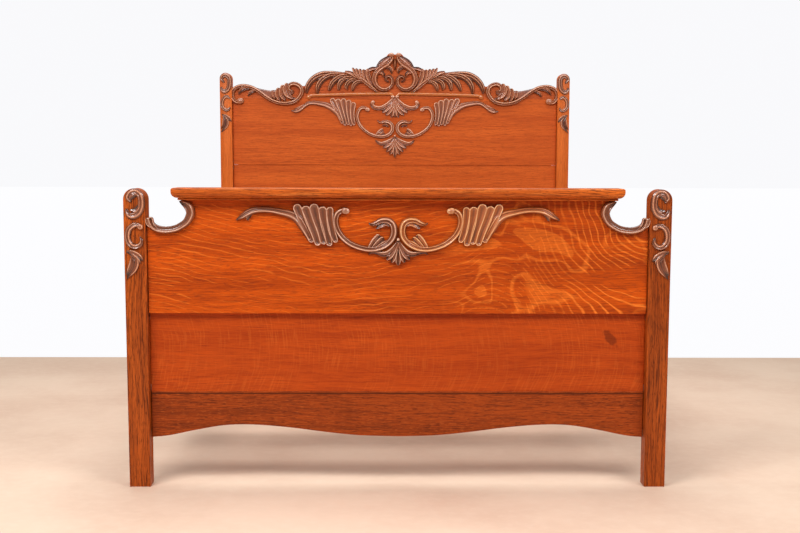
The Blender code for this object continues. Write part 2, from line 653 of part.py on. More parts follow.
def crest_carvings():
    face = HEAD_FACE + PANEL_SETBACK
    wing = [
        [(637, 1150, 6), (652, 1138, 6), (670, 1150, 6), (676, 1174, 7), (668, 1192, 7),
         (646, 1204, 7), (612, 1201, 7), (576, 1186, 7), (546, 1167, 7), (516, 1148, 7),
         (480, 1132, 7), (440, 1131, 7), (408, 1146, 8), (392, 1174, 8), (404, 1206, 8),
         (430, 1214, 8), (447, 1200, 7), (436, 1184, 5)],
        [(577, 1188, 5), (606, 1190, 8), (632, 1190, 7), (642, 1175, 3)],
        [(560, 1178, 4), (592, 1178, 7), (615, 1170, 3)],
        [(470, 1134, 4), (478, 1160, 8), (456, 1202, 5)],
        [(500, 1142, 4), (504, 1160, 7), (490, 1176, 4)]]
    carved_pair("crest_wing", wing, face, CREST_RELIEF)
    plume = [
        [(112, 1212, 6), (150, 1232, 8), (200, 1250, 9), (260, 1260, 8), (316, 1252, 9),
         (352, 1236, 9), (370, 1214, 8), (373, 1190, 4)],
        [(200, 1250, 7), (270, 1250, 8), (318, 1224, 9), (318, 1186, 3)],
        [(180, 1244, 7), (240, 1240, 8), (270, 1216, 9), (279, 1186, 3)],
        [(170, 1240, 7), (212, 1232, 8), (236, 1208, 9), (226, 1185, 3)],
        [(150, 1232, 7), (184, 1226, 7), (198, 1206, 8), (186, 1185, 3)],
        [(134, 1224, 7), (158, 1222, 7), (168, 1204, 7), (160, 1188, 3)],
        [(116, 1214, 6), (150, 1250, 8), (216, 1266, 3)],
        [(112, 1212, 6), (134, 1252, 8), (168, 1279, 3)]]
    carved_pair("crest_plume", plume, face, CREST_RELIEF)
    cartouche = [
        [(8, 1342, 8), (12, 1318, 8), (40, 1300, 8), (68, 1282, 9), (84, 1256, 9), (84, 1230, 9),
         (72, 1206, 9), (46, 1193, 8), (18, 1200, 8), (4, 1220, 8), (8, 1242, 7), (28, 1246, 6),
         (32, 1230, 5)],
        [(0, 1322, 10), (0, 1300, 9), (0, 1270, 4)],
        [(16, 1332, 5), (42, 1320, 8), (66, 1294, 5)],
        [(86, 1262, 6), (100, 1280, 7), (106, 1262, 7), (100, 1228, 4), (88, 1210, 3)]]
    carved_centre("crest_cartouche", cartouche, face, CREST_RELIEF)


# ---------------------------------------------------------------- side rails and slats

def rail_ends():
    return FOOT_FACE + POST_DEPTH + RAIL_PLAY, HEAD_FACE - RAIL_PLAY


def side_rail(side_name, side):
    near, far = rail_ends()
    centre = side * SIDE_CENTRE
    mesh = box_mesh((centre - SIDE_THICK / 2, near, SIDE_BOTTOM),
                    (centre + SIDE_THICK / 2, far, SIDE_BOTTOM + SIDE_HEIGHT))
    rail = place("side_rail_" + side_name, mesh, OAK)
    soften(rail, 2 * MM)
    half = PLATE_THICK / 2 + GAP
    middle = SIDE_BOTTOM + SIDE_HEIGHT / 2
    for end, inward in ((near, 1), (far, -1)):
        inner = end + inward * (PLATE_IN_RAIL + GAP)
        outer = end - inward * PLATE_IN_RAIL
        slot = box_mesh((centre - half, min(inner, outer), middle - PLATE_HEIGHT / 2 - GAP),
                        (centre + half, max(inner, outer), middle + PLATE_HEIGHT / 2 + GAP))
        boolean(rail, place_cutter(rail.name + "_plate_slot", slot), "DIFFERENCE")


def slat_ledge(side_name, side):
    near, far = rail_ends()
    outer = SIDE_CENTRE - SIDE_THICK / 2 - GAP
    x1, x2 = sorted((side * outer, side * (outer - LEDGE)))
    mesh = box_mesh((x1, near + LEDGE_STOP, SIDE_BOTTOM),
                    (x2, far - LEDGE_STOP, SIDE_BOTTOM + LEDGE))
    soften(place("slat_ledge_" + side_name, mesh, OAK_INSIDE, 0.6), 1.5 * MM)


def slats():
    near, far = rail_ends()
    half = SIDE_CENTRE - SIDE_THICK / 2 - SLAT_PLAY
    bottom = SIDE_BOTTOM + LEDGE + GAP
    first = near + SLAT_MARGIN
    step = (far - near - 2 * SLAT_MARGIN) / (SLAT_COUNT - 1)
    for i in range(SLAT_COUNT):
        y = first + i * step
        mesh = box_mesh((-half, y - SLAT_WIDTH / 2, bottom),
                        (half, y + SLAT_WIDTH / 2, bottom + SLAT_THICK))
        soften(place(f"slat_{i + 1}", mesh, OAK_INSIDE, 0.65), 2 * MM)


def hook_plate(name, side, end, outward):
    """A steel plate let into a rail's end, with two hooks that drop over the post's pins."""
    middle = SIDE_BOTTOM + SIDE_HEIGHT / 2
    tip = end + outward * HOOK_REACH
    notch = tip - outward * HOOK_BEAK
    root = end - outward * PLATE_IN_RAIL
    bottom = middle - PLATE_HEIGHT / 2
    outline = [(root, bottom), (end, bottom)]
    for pin in hook_heights():
        seat = pin + PIN_RADIUS + GAP
        outline += [(end, seat), (notch, seat), (notch, seat - HOOK_DROP),
                    (tip, seat - HOOK_DROP + HOOK_LEAD), (tip, seat + HOOK_ARM - HOOK_NOSE),
                    (tip - outward * HOOK_NOSE, seat + HOOK_ARM), (end, seat + HOOK_ARM)]
    outline += [(end, bottom + PLATE_HEIGHT), (root, bottom + PLATE_HEIGHT)]
    place(name, side_slab(outline, side * SIDE_CENTRE, PLATE_THICK), STEEL, 0.5, 1.0)


def fasteners(side_name, side):
    near, far = rail_ends()
    hook_plate("hook_plate_foot_" + side_name, side, near, -1)
    hook_plate("hook_plate_head_" + side_name, side, far, 1)
    faces = (("foot", FOOT_FACE + POST_DEPTH, -1), ("head", HEAD_FACE, 1))
    for end_name, face, inward in faces:
        for level, z in zip(("lower", "upper"), hook_heights()):
            mesh = rod_mesh(pin_centre(side, face, inward, z), PIN_RADIUS, PIN_LENGTH)
            place(f"{level}_pin_{end_name}_{side_name}", mesh, STEEL, 0.4, 1.0)


clear_scene()
parts = new_collection("carved_oak_bed")
cutters = new_collection("cutters")
for side_name, side in (("left", -1), ("right", 1)):
    foot_post(side_name, side)
    head_post(side_name, side)
    side_rail(side_name, side)
    slat_ledge(side_name, side)
    fasteners(side_name, side)
foot_upper_board()
foot_lower_panel()
foot_apron()
foot_batten()
foot_cap()
head_boards()
foot_carvings()
head_carvings()
crest_carvings()
slats()
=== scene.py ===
import math

import bmesh
import bpy
import numpy as np
from mathutils import Matrix, Vector


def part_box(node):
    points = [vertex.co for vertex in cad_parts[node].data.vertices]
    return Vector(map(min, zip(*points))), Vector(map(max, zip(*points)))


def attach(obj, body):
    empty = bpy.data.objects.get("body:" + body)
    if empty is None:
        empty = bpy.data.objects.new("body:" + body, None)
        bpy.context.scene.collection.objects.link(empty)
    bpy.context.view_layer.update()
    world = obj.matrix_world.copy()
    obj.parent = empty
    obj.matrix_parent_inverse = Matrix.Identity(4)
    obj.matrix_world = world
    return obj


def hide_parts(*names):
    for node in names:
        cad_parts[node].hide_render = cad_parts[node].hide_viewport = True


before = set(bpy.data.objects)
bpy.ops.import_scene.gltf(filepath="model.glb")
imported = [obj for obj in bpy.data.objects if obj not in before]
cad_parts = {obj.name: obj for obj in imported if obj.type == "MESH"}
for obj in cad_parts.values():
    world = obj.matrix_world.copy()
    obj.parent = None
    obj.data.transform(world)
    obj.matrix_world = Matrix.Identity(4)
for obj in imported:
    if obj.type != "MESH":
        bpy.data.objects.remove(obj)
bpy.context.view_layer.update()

MM = 0.001
HEAD_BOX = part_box("head_upper_panel")
FOOT_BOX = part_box("foot_upper_board")
HEAD_PANEL_FACE = HEAD_BOX[0].y
FOOT_BOARD_FACE = FOOT_BOX[0].y
HEAD_POST_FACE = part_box("head_post_left")[0].y
APRON_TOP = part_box("foot_lower_panel")[0].z
FOOT_POST_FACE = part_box("foot_post_left")[0].y

# ------------------------------------------------------------------ shader maths


class Sock:
    """A shader socket that can be used in plain arithmetic."""

    def __init__(self, tree, out):
        self.tree, self.out = tree, out

    def math(self, operation, *values):
        node = self.tree.nodes.new("ShaderNodeMath")
        node.operation = operation
        for slot, value in zip(node.inputs, values):
            if isinstance(value, Sock):
                self.tree.links.new(value.out, slot)
            else:
                slot.default_value = value
        return Sock(self.tree, node.outputs[0])

    def __add__(self, other):
        return self.math("ADD", self, other)

    def __radd__(self, other):
        return self.math("ADD", other, self)

    def __sub__(self, other):
        return self.math("SUBTRACT", self, other)

    def __rsub__(self, other):
        return self.math("SUBTRACT", other, self)

    def __mul__(self, other):
        return self.math("MULTIPLY", self, other)

    def __rmul__(self, other):
        return self.math("MULTIPLY", other, self)

    def __truediv__(self, other):
        return self.math("DIVIDE", self, other)

    def __rtruediv__(self, other):
        return self.math("DIVIDE", other, self)

    def __neg__(self):
        return self.math("MULTIPLY", self, -1.0)

    def __pow__(self, other):
        return self.math("POWER", self, other)

    def clamp(self, low=0.0, high=1.0):
        return self.math("MAXIMUM", self.math("MINIMUM", self, high), low)

    def step(self, low, high):
        """0 below low, 1 above high, and smooth between."""
        t = ((self - low) / (high - low)).clamp()
        return t * t * (3.0 - 2.0 * t)


class Finish:
    """A material under construction: its node tree, its shader and short ways to add nodes."""

    def __init__(self, name, roughness=0.4, coat=0.0, coat_roughness=0.2, metallic=0.0):
        self.material = bpy.data.materials.new(name)
        self.material.use_nodes = True
        self.tree = self.material.node_tree
        self.shader = self.tree.nodes["Principled BSDF"]
        self.shader.inputs["Roughness"].default_value = roughness
        self.shader.inputs["Metallic"].default_value = metallic
        self.shader.inputs["Coat Weight"].default_value = coat
        self.shader.inputs["Coat Roughness"].default_value = coat_roughness

    def node(self, kind, settings=None, **inputs):
        made = self.tree.nodes.new(kind)
        for key, value in (settings or {}).items():
            setattr(made, key, value)
        for key, value in inputs.items():
            slot = made.inputs[key.replace("_", " ")]
            self.feed(slot, value)
        return made

    def feed(self, slot, value):
        if isinstance(value, Sock):
            self.tree.links.new(value.out, slot)
        elif isinstance(value, bpy.types.NodeSocket):
            self.tree.links.new(value, slot)
        else:
            slot.default_value = value

    def sock(self, out):
        return Sock(self.tree, out)

    def place(self, scale=(1, 1, 1), shift=(0, 0, 0), turn=(0, 0, 0)):
        """Object coordinates, turned, stretched and moved."""
        coords = self.node("ShaderNodeTexCoord").outputs["Object"]
        mapping = self.node("ShaderNodeMapping", Vector=coords, Location=shift, Rotation=turn,
                            Scale=scale)
        return mapping.outputs["Vector"]

    def noise(self, where, scale=1.0, detail=2.0, roughness=0.5, distortion=0.0):
        made = self.node("ShaderNodeTexNoise", Vector=where, Scale=scale, Detail=detail,
                         Roughness=roughness, Distortion=distortion)
        return self.sock(made.outputs["Fac"])

    def axes(self, where):
        split = self.node("ShaderNodeSeparateXYZ", Vector=where)
        return [self.sock(split.outputs[k]) for k in "XYZ"]

    def vector(self, x, y, z):
        made = self.node("ShaderNodeCombineXYZ", X=x, Y=y, Z=z)
        return made.outputs["Vector"]

    def attribute(self, name):
        return self.sock(self.node("ShaderNodeAttribute", {"attribute_name": name}).outputs["Fac"])

    def mix(self, amount, a, b, mode="MIX"):
        made = self.node("ShaderNodeMix", {"data_type": "RGBA", "blend_type": mode})
        self.feed(made.inputs[0], amount)
        self.feed(made.inputs[6], a)
        self.feed(made.inputs[7], b)
        return made.outputs[2]

    def ramp(self, value, *stops):
        made = self.node("ShaderNodeValToRGB")
        steps = made.color_ramp.elements
        while len(steps) < len(stops):
            steps.new(0.5)
        for step, (at, colour) in zip(steps, stops):
            step.position = at
            step.color = colour
        self.feed(made.inputs["Fac"], value)
        return made.outputs["Color"]

    def colour(self, value):
        self.feed(self.shader.inputs["Base Color"], value)

    def roughness(self, value):
        self.feed(self.shader.inputs["Roughness"], value)

    def bump(self, height, distance, strength=1.0):
        made = self.node("ShaderNodeBump", Height=height, Distance=distance, Strength=strength)
        self.feed(self.shader.inputs["Normal"], made.outputs["Normal"])


def rgb(r, g, b):
    """Display colour values (0 to 255) as a linear colour."""
    def linear(c):
        c = c / 255
        return c / 12.92 if c <= 0.04045 else ((c + 0.055) / 1.055) ** 2.4
    return (linear(r), linear(g), linear(b), 1)


# ------------------------------------------------------------------ wood finishes

def oak(name, tones, along="x", figure=None, pores=0.5, grain=0.5, shift=(0, 0, 0), seams=(),
        knots=()):
    """Lacquered oak with its grain along x, y or z; figure(finish, x, z) adds the ray flake.

    The tones are its base and dark colours, and a light one for the flake.

    A dark line is painted along each seam, a height in the bed's own frame: painted shade in the
    joint, with some grime;
    knots are (x, z) places in the same frame.
    """
    base, dark, *flake = tones
    f = Finish(name, roughness=0.42, coat=0.08, coat_roughness=0.25)
    f.shader.inputs["Specular IOR Level"].default_value = 0.16
    where = f.place(shift=shift)
    x, y, z = f.axes(where)
    length, across, through = {"x": (x, z, y), "y": (y, z, x), "z": (z, x, y)}[along]
    wander = f.noise(f.vector(length * 1.6, across * 5.0, through * 5.0), 1.0, 2.0) - 0.5
    drift = across + wander * 0.06
    bands = f.noise(f.vector(length * 1.1, drift * 24.0, through * 24.0), 1.0, 2.0, 0.6)
    streak = f.noise(f.vector(length * 14.0, drift * 480.0, through * 480.0), 1.0, 2.0, 0.6)
    fibre = f.noise(f.vector(length * 12.0, drift * 520.0, through * 520.0), 1.0, 2.0, 0.6)
    pore = f.noise(f.vector(length * 60.0, drift * 560.0, through * 560.0), 1.0, 1.0, 0.5)
    tone = (bands * 0.45 + streak * 0.30 + fibre * 0.25).step(0.36, 0.62)
    paint = f.mix(tone, dark, base)
    if figure:
        paint = f.mix(figure(f, x, z), paint, flake[0])
    deep = tuple(0.30 * c for c in dark[:3]) + (1,)
    paint = f.mix(streak.step(0.50, 0.34) * grain, paint, deep)
    paint = f.mix(pore.step(0.56, 0.68) * pores, paint, deep)
    cloud = f.noise(where, 2.6, 3.0)
    paint = f.mix(cloud.step(0.38, 0.72) * 0.30, paint, dark)
    # Painted shade in the joint along each seam, with some grime.
    for seam in seams:
        off = z - seam - shift[2]
        paint = f.mix(off.math("ABSOLUTE", off).step(0.0030, 0.0012) * 0.8, paint, deep)
    for knot_x, knot_z in knots:
        torn = (f.noise(where, 45.0, 2.0) - 0.5) * 0.030
        dx, dz = x - knot_x + torn, (z - knot_z - torn + (x - knot_x) * 0.6) * 1.3
        paint = f.mix((dx * dx + dz * dz).step(0.00060, 0.00022) * 0.6, paint, deep)
    f.colour(paint)
    f.roughness(0.36 + 0.16 * fibre + pore.step(0.56, 0.68) * 0.2)
    f.bump(fibre * 0.5 - pore.step(0.56, 0.68) * 0.9, 0.0004, 0.35)
    return f.material


def foot_figure(f, x, z):
    """Ray flake of the wide footboard board: a long dip on the left, arcs round the right corner."""
    roll = f.noise(f.vector(x * 2.4, 0.0, z * 5.0), 1.0, 1.0) - 0.5
    ripple = f.noise(f.vector(x * 11.0, 0.0, z * 14.0), 1.0, 1.0) - 0.5
    dip = ((x + 0.15) * (x + 0.15) + 0.022) ** 0.5 * 0.24 - z + 0.88
    dx = x - 0.69
    dz = z - 0.80
    arcs = (dx * dx + dz * dz * 0.8) ** 0.5
    right = x.step(0.16, 0.44)
    level = dip * (1.0 - right) + arcs * right + roll * (0.045 + 0.08 * right) + ripple * 0.030
    phase = level * (64.0 - 6.0 * right)
    ring = phase.math("FRACT", phase)
    near = (ring - 0.5).math("ABSOLUTE", ring - 0.5)
    swell = f.noise(f.vector(x * 6.0, 0.0, z * 11.0), 1.0, 1.0)
    width = 0.07 + 0.40 * (swell - 0.42).clamp() + 0.05 * right
    breaks = f.noise(f.vector(x * 5.0, 0.0, z * (30.0 - 22.0 * right)), 1.0, 2.0, 0.6)
    breaks = breaks.step(0.41, 0.51)
    calm = f.noise(f.vector(x * 3.0, 0.0, z * 5.0), 1.0, 1.0).step(0.36, 0.58)
    middle = right * x.step(0.56, 0.42)
    thin = (1.0 - ((near / width).clamp()) ** 2.0) * breaks * (0.70 + 0.26 * calm)
    thin = thin * (1.0 - 0.65 * middle) * (0.35 + 0.65 * z.step(0.76, 0.66)).math("MAXIMUM", right)
    lake = f.noise(f.vector(x * 5.6 + 7.3, 0.0, z * 8.0), 1.0, 1.0, 0.5, 0.6)
    shore = ((lake - 0.55).math("ABSOLUTE", lake - 0.55) * (1.0 / 0.022)).clamp()
    isle = lake.step(0.66, 0.675)
    open_side = x.step(0.08, 0.22) * (1.0 - 0.5 * x.step(0.5, 0.6))
    return (thin + ((1.0 - shore ** 2.0) * 0.45 + isle * 0.42) * open_side).clamp()


def panel_figure(f, x, z):
    """Fine, almost upright flecks that lean with the height."""
    lean = x + (z - 0.38) * (z - 0.38) * 1.6 + (f.noise(f.vector(x * 3.0, 0.0, z * 5.0)) - 0.5) * 0.05
    fleck = f.noise(f.vector(lean * 230.0, 0.0, z * 16.0), 1.0, 1.0)
    patch = f.noise(f.vector(x * 5.0, 0.0, z * 9.0), 1.0, 2.0)
    return fleck.step(0.50, 0.68) * patch.step(0.30, 0.60) * 0.30


def apron_figure(f, x, z):
    """Short bright dashes along the board."""
    dash = f.noise(f.vector(x * 70.0, 0.0, z * 420.0), 1.0, 2.0)
    return dash.step(0.54, 0.66) * 0.35


def cathedral_cap(f, x, z):
    return f.noise(f.vector(x * 6.0, 0.0, z * 120.0), 1.0, 2.0).step(0.52, 0.64) * 0.35


BOARD_OAK = (rgb(208, 84, 4), rgb(158, 56, 0), rgb(246, 128, 40))
RAIL_OAK = (rgb(180, 80, 24), rgb(140, 58, 14))
LOWER_OAK = (rgb(194, 76, 12), rgb(162, 56, 4), rgb(216, 106, 36))
APRON_OAK = (rgb(170, 70, 14), rgb(128, 48, 4), rgb(200, 100, 40))
POST_OAK = (rgb(190, 88, 24), rgb(140, 58, 10))
BACK_OAK = (rgb(222, 112, 40), rgb(186, 84, 24))
CREST_OAK = (rgb(210, 100, 44), rgb(176, 74, 26))
CAP_OAK = (rgb(222, 110, 34), rgb(168, 72, 16), rgb(240, 142, 64))
HEAD_OAK = (rgb(212, 98, 32), rgb(182, 76, 20))
BARE_WOOD = (rgb(178, 126, 76), rgb(140, 92, 52))


def carved_finish(name, base, dark, light):
    """Dark stained carving, with a painted highlight on the ridges (partly worn finish) and painted
    shade in the low parts and hollows (partly old finish gathered there).
    """
    f = Finish(name, roughness=0.32, coat=1.0, coat_roughness=0.16)
    where = f.place()
    rise = f.attribute("rise")
    hollow = f.attribute("hollow")
    ridge = f.attribute("ridge")
    patch = f.noise(where, 30.0, 3.0)
    grain = f.noise(f.place(scale=(60, 300, 300)), 1.0, 2.0)
    level = rise + (patch - 0.5) * 0.15
    # Painted highlight: the pale colour laid on the highest, sharpest ridges.
    paint = f.mix(level.step(0.55, 0.85) * (0.12 + 0.88 * ridge.step(0.10, 0.75)), base, light)
    # Painted shade: the low parts of the relief are darkened by their height.
    paint = f.mix(level.step(0.60, 0.28) * 0.9, paint, dark)
    paint = f.mix(grain.step(0.45, 0.65) * 0.15, paint, dark)
    # Painted shade in the hollows, with some old finish gathered there.
    paint = f.mix(hollow.step(0.35, 1.0) * 0.7, paint, dark)
    f.colour(paint)
    f.roughness(0.26 + 0.2 * patch)
    f.bump(grain * 0.4 + patch * 0.6, 0.0002, 0.2)
    return f.material


# ------------------------------------------------------------------ carving

FOOT_RELIEF = 14                    # how far each carving stands off its board, in mm
PANEL_RELIEF = 12
CREST_RELIEF = 18
POST_RELIEF = 7
GRID = 1.0 * MM                     # spacing of the carved surface's points
EDGE = 0.26                         # height of a cut's edge, as a share of its full height
BLUR_PASSES = 8                     # how widely a point is compared with the heights around it
RIM_PASSES = 4                      # how often the stepped rim of a carving is eased
SUNK = 0.3 * MM                     # how far a carving's back lies inside its board


def smooth_line(knots, steps=6):
    """Points along a Catmull-Rom line through the knots."""
    ends = [knots[0], *knots, knots[-1]]
    line = []
    for i in range(len(knots) - 1):
        p0, p1, p2, p3 = [np.array(p, float) for p in ends[i:i + 4]]
        for t in np.arange(steps) / steps:
            line.append(0.5 * (2 * p1 + (p2 - p0) * t + (2 * p0 - 5 * p1 + 4 * p2 - p3) * t ** 2
                               + (3 * p1 - p0 - 3 * p2 + p3) * t ** 3))
    line.append(np.array(knots[-1], float))
    return np.array(line)


def bell(u, centre, width):
    return np.exp(-((u - centre) / width) ** 2)


def round_bar(u):
    return np.sqrt(1 - u ** 2)


def double(u):
    """A broad bright ridge on the right of the cut, a groove, and a finer ridge."""
    return np.sqrt(1 - u ** 6) * (0.20 + 0.80 * bell(u, -0.36, 0.36) + 0.52 * bell(u, 0.56, 0.20))


def plain(u):
    """A low raised ground."""
    return 0.62 * np.sqrt(1 - u ** 8)


def feather(u):
    """Two sharp ridges parted by a deep groove, with a hollow edge."""
    return np.sqrt(1 - u ** 8) * (0.10 + 0.90 * bell(u, 0.52, 0.24) + 0.75 * bell(u, -0.22, 0.20))


def flute(u):
    """A scooped hollow between sharp edges."""
    return np.sqrt(1 - u ** 10) * (0.15 + 0.85 * np.clip(u ** 2 / 0.7, 0, 1))


def vein(u):
    """A sharp middle ridge with hollow sides."""
    return (1 - np.abs(u)) ** 1.3


def rib(u):
    """A hollow sweep up to a sharp ridge on the right of the cut, with a fine rim on its left."""
    sweep = np.where(u > -0.66, ((1 - u) / 1.66) ** 2.6, np.clip((1 + u) / 0.34, 0, 1) ** 0.6)
    reed = 0.34 * bell(u, 0.12, 0.12) + 0.5 * bell(u, 0.82, 0.12)
    return np.sqrt(1 - u ** 10) * np.clip(0.04 + 0.96 * sweep + reed, 0, 1)


def rib_left(u):
    return rib(-u)


def lip(u):
    """A full ridge on the right of the cut, and a low band with a rim on its left."""
    return np.sqrt(1 - u ** 6) * (0.30 + 0.70 * bell(u, -0.42, 0.34) + 0.35 * bell(u, 0.82, 0.14))


class Carving:
    """A relief on an upright face towards the foot end, made of a carver's strokes (in mm)."""

    def __init__(self, name, face, depth, mirrored=False):
        self.name, self.face, self.depth = name, face, depth * MM
        self.mirrored = mirrored
        self.strokes = []

    def cut(self, profile, *knots, rise=1.0, over=0.0):
        self.strokes.append((profile, smooth_line(knots) * MM, rise, over))
        if self.mirrored:
            other = smooth_line(knots) * MM
            other[:, 0] *= -1
            self.strokes.append((lambda u, p=profile: p(-u), other, rise, over))
        return self

    def surface(self):
        lines = np.concatenate([s[1] for s in self.strokes])
        reach = lines[:, 2].max() + 2 * GRID
        low = np.floor((lines[:, :2].min(0) - reach) / GRID)
        high = np.ceil((lines[:, :2].max(0) + reach) / GRID)
        count = (high - low).astype(int) + 1
        xs = (low[0] + np.arange(count[0])) * GRID
        zs = (low[1] + np.arange(count[1])) * GRID
        height = np.zeros((count[0], count[1]))
        for profile, line, rise, over in self.strokes:
            self.lay(height, xs, zs, profile, line, rise, over)
        return xs, zs, height

    def lay(self, height, xs, zs, profile, line, rise, over):
        """Raise the surface wherever one stroke stands above it."""
        best = np.full(height.shape, 9.0)
        side = np.zeros(height.shape)
        tall = np.zeros(height.shape)
        widest = line[:, 2].max()
        for a, b in zip(line[:-1], line[1:]):
            reach = max(a[2], b[2])
            i = slice(*np.searchsorted(xs, (min(a[0], b[0]) - reach, max(a[0], b[0]) + reach)))
            k = slice(*np.searchsorted(zs, (min(a[1], b[1]) - reach, max(a[1], b[1]) + reach)))
            gx, gz = np.meshgrid(xs[i], zs[k], indexing="ij")
            step = b[:2] - a[:2]
            length = max(step @ step, 1e-12)
            t = np.clip(((gx - a[0]) * step[0] + (gz - a[1]) * step[1]) / length, 0, 1)
            dx, dz = gx - a[0] - step[0] * t, gz - a[1] - step[1] * t
            radius = a[2] + (b[2] - a[2]) * t
            off = np.hypot(dx, dz) / radius
            closer = off < best[i, k]
            best[i, k] = np.where(closer, off, best[i, k])
            turn = np.sign(step[0] * dz - step[1] * dx)
            side[i, k] = np.where(closer, turn, side[i, k])
            tall[i, k] = np.where(closer, (radius / widest) ** 0.5, tall[i, k])
        inside = best < 1
        u = np.where(inside, best * side, 0.0)
        made = np.where(inside, (EDGE + (1 - EDGE) * profile(u)) * rise * tall + over, 0.0)
        np.maximum(height, made, out=height)

    def build(self):
        xs, zs, height = self.surface()
        soft = height.copy()
        soft[1:-1, 1:-1] = (soft[1:-1, 1:-1] * 4 + soft[:-2, 1:-1] + soft[2:, 1:-1]
                            + soft[1:-1, :-2] + soft[1:-1, 2:]) / 8
        height = np.where(height > 0, np.maximum(soft, 0.02), 0)
        wide = height.copy()
        for _ in range(BLUR_PASSES):
            wide[1:-1, 1:-1] = (wide[:-2, 1:-1] + wide[2:, 1:-1] + wide[1:-1, :-2]
                                + wide[1:-1, 2:]) / 4
        # hollow and ridge mark where the carved finish paints shade and highlight.
        hollow = np.clip((wide - height) * 5.0, 0, 1)
        ridge = np.clip((height - wide) * 5.0, 0, 1)
        bm = bmesh.new()
        rise_layer = bm.verts.layers.float.new("rise")
        hollow_layer = bm.verts.layers.float.new("hollow")
        ridge_layer = bm.verts.layers.float.new("ridge")
        nx, nz = len(xs) - 1, len(zs) - 1
        bmesh.ops.create_grid(bm, x_segments=nx, y_segments=nz, size=0.5)
        lone = []
        for v in bm.verts:
            i, k = round((v.co.x + 0.5) * nx), round((v.co.y + 0.5) * nz)
            v.co = (xs[i], self.face + SUNK, zs[k])
            if height[i, k] <= 0:
                lone.append(v)
        while lone:
            bmesh.ops.delete(bm, geom=lone, context="VERTS")
            wires = [e for e in bm.edges if not e.link_faces]
            bmesh.ops.delete(bm, geom=wires, context="EDGES")
            lone = [v for v in bm.verts
                    if not v.link_faces or sum(e.is_boundary for e in v.link_edges) > 2]
        for _ in range(RIM_PASSES):
            ease_rim(bm)
        grown = bmesh.ops.extrude_face_region(bm, geom=bm.faces[:], use_keep_orig=True)["geom"]
        for v in grown:
            if not isinstance(v, bmesh.types.BMVert):
                continue
            i, k = round((v.co.x - xs[0]) / GRID), round((v.co.z - zs[0]) / GRID)
            h = max(height[i, k], 0.04)
            v.co.y = self.face - self.depth * (0.16 + 0.84 * h)
            v[rise_layer] = h
            v[hollow_layer] = hollow[i, k]
            v[ridge_layer] = ridge[i, k]
        bmesh.ops.recalc_face_normals(bm, faces=bm.faces)
        return bm


def ease_rim(bm):
    """Draw each point of a sheet's rim half way to the middle of its two neighbours."""
    moves = []
    for v in bm.verts:
        if v.is_boundary:
            near = [e.other_vert(v).co for e in v.link_edges if e.is_boundary]
            if len(near) == 2:
                moves.append((v, v.co * 0.5 + (near[0] + near[1]) * 0.25))
    for v, co in moves:
        v.co = co


def show(name, bm, finish, body, node=None, smooth=math.radians(50)):
    """Make a bmesh a finished piece that rides on a body and stands for a CAD node."""
    mesh = bpy.data.meshes.new(name)
    bm.to_mesh(mesh)
    bm.free()
    mesh.shade_smooth()
    mesh.set_sharp_from_angle(angle=smooth)
    mesh.materials.append(finish)
    piece = bpy.data.objects.new(name, mesh)
    bpy.context.scene.collection.objects.link(piece)
    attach(piece, body)
    if node:
        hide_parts(node)
    return piece


def carve_pair(carving, right_finish, left_finish):
    """The carving on the right of the bed, and its mirror image on the left."""
    bm = carving.build()
    other = bm.copy()
    bmesh.ops.scale(other, vec=(-1, 1, 1), verts=other.verts)
    bmesh.ops.reverse_faces(other, faces=other.faces)
    show(carving.name + "_right_relief", bm, right_finish, "ends", carving.name + "_right")
    show(carving.name + "_left_relief", other, left_finish, "ends", carving.name + "_left")


def carve_centre(carving, finish):
    show(carving.name + "_relief", carving.build(), finish, "ends", carving.name)


def foot_scroll_branch():
    c = Carving("foot_scroll_branch", FOOT_BOARD_FACE, FOOT_RELIEF)
    c.cut(double, (80, 728, 1.5), (72, 724, 5), (60, 727, 7.5), (46, 734, 9), (28, 734, 10),
          (15, 724, 10), (11, 706, 10), (15, 688, 10), (29, 671, 9.5), (50, 660, 9),
          (76, 656, 8.8), (104, 661, 8.8), (130, 672, 9), (152, 690, 9.2), (166, 713, 9.4),
          (170, 735, 9.2), (164, 753, 8.8), (152, 761, 8.2), (141, 761, 7.5))
    c.cut(round_bar, (145, 761, 9), (139, 760, 8.5), rise=1.15)
    c.cut(rib, (22, 720, 3), (34, 725, 6), (47, 720, 6), (58, 713, 2.5), rise=0.85)
    c.cut(rib, (76, 664, 6), (64, 680, 9), (55, 691, 8), rise=1.1)
    c.cut(rib, (68, 661, 5), (54, 675, 8), (44, 685, 7))
    c.cut(rib, (59, 660, 5), (43, 670, 7), (31, 677, 5), rise=0.9)
    c.cut(double, (240, 686, 8), (255, 714, 12), (271, 738, 13), (290, 750, 12), (318, 757, 10),
          (345, 762, 9), (372, 763, 9), (393, 760, 10), (408, 753, 10), (421, 745, 8),
          (436, 736, 2.5))
    c.cut(rib_left, (396, 755, 5), (404, 746, 7), (407, 738, 4.5), rise=0.8)
    for flute_line in (((272, 768, 12), (259, 737, 12), (245, 706, 10), (235, 682, 8)),
                       ((249, 763, 12), (239, 733, 12), (226, 702, 11), (218, 675, 9)),
                       ((227, 768, 13), (219, 736, 12), (209, 704, 11), (202, 678, 9)),
                       ((204, 761, 12), (200, 731, 12), (193, 702, 11), (186, 674, 9)),
                       ((184, 762, 10), (184, 734, 10), (179, 706, 10), (170, 682, 8))):
        c.cut(flute, *flute_line, over=0.06)
    return c


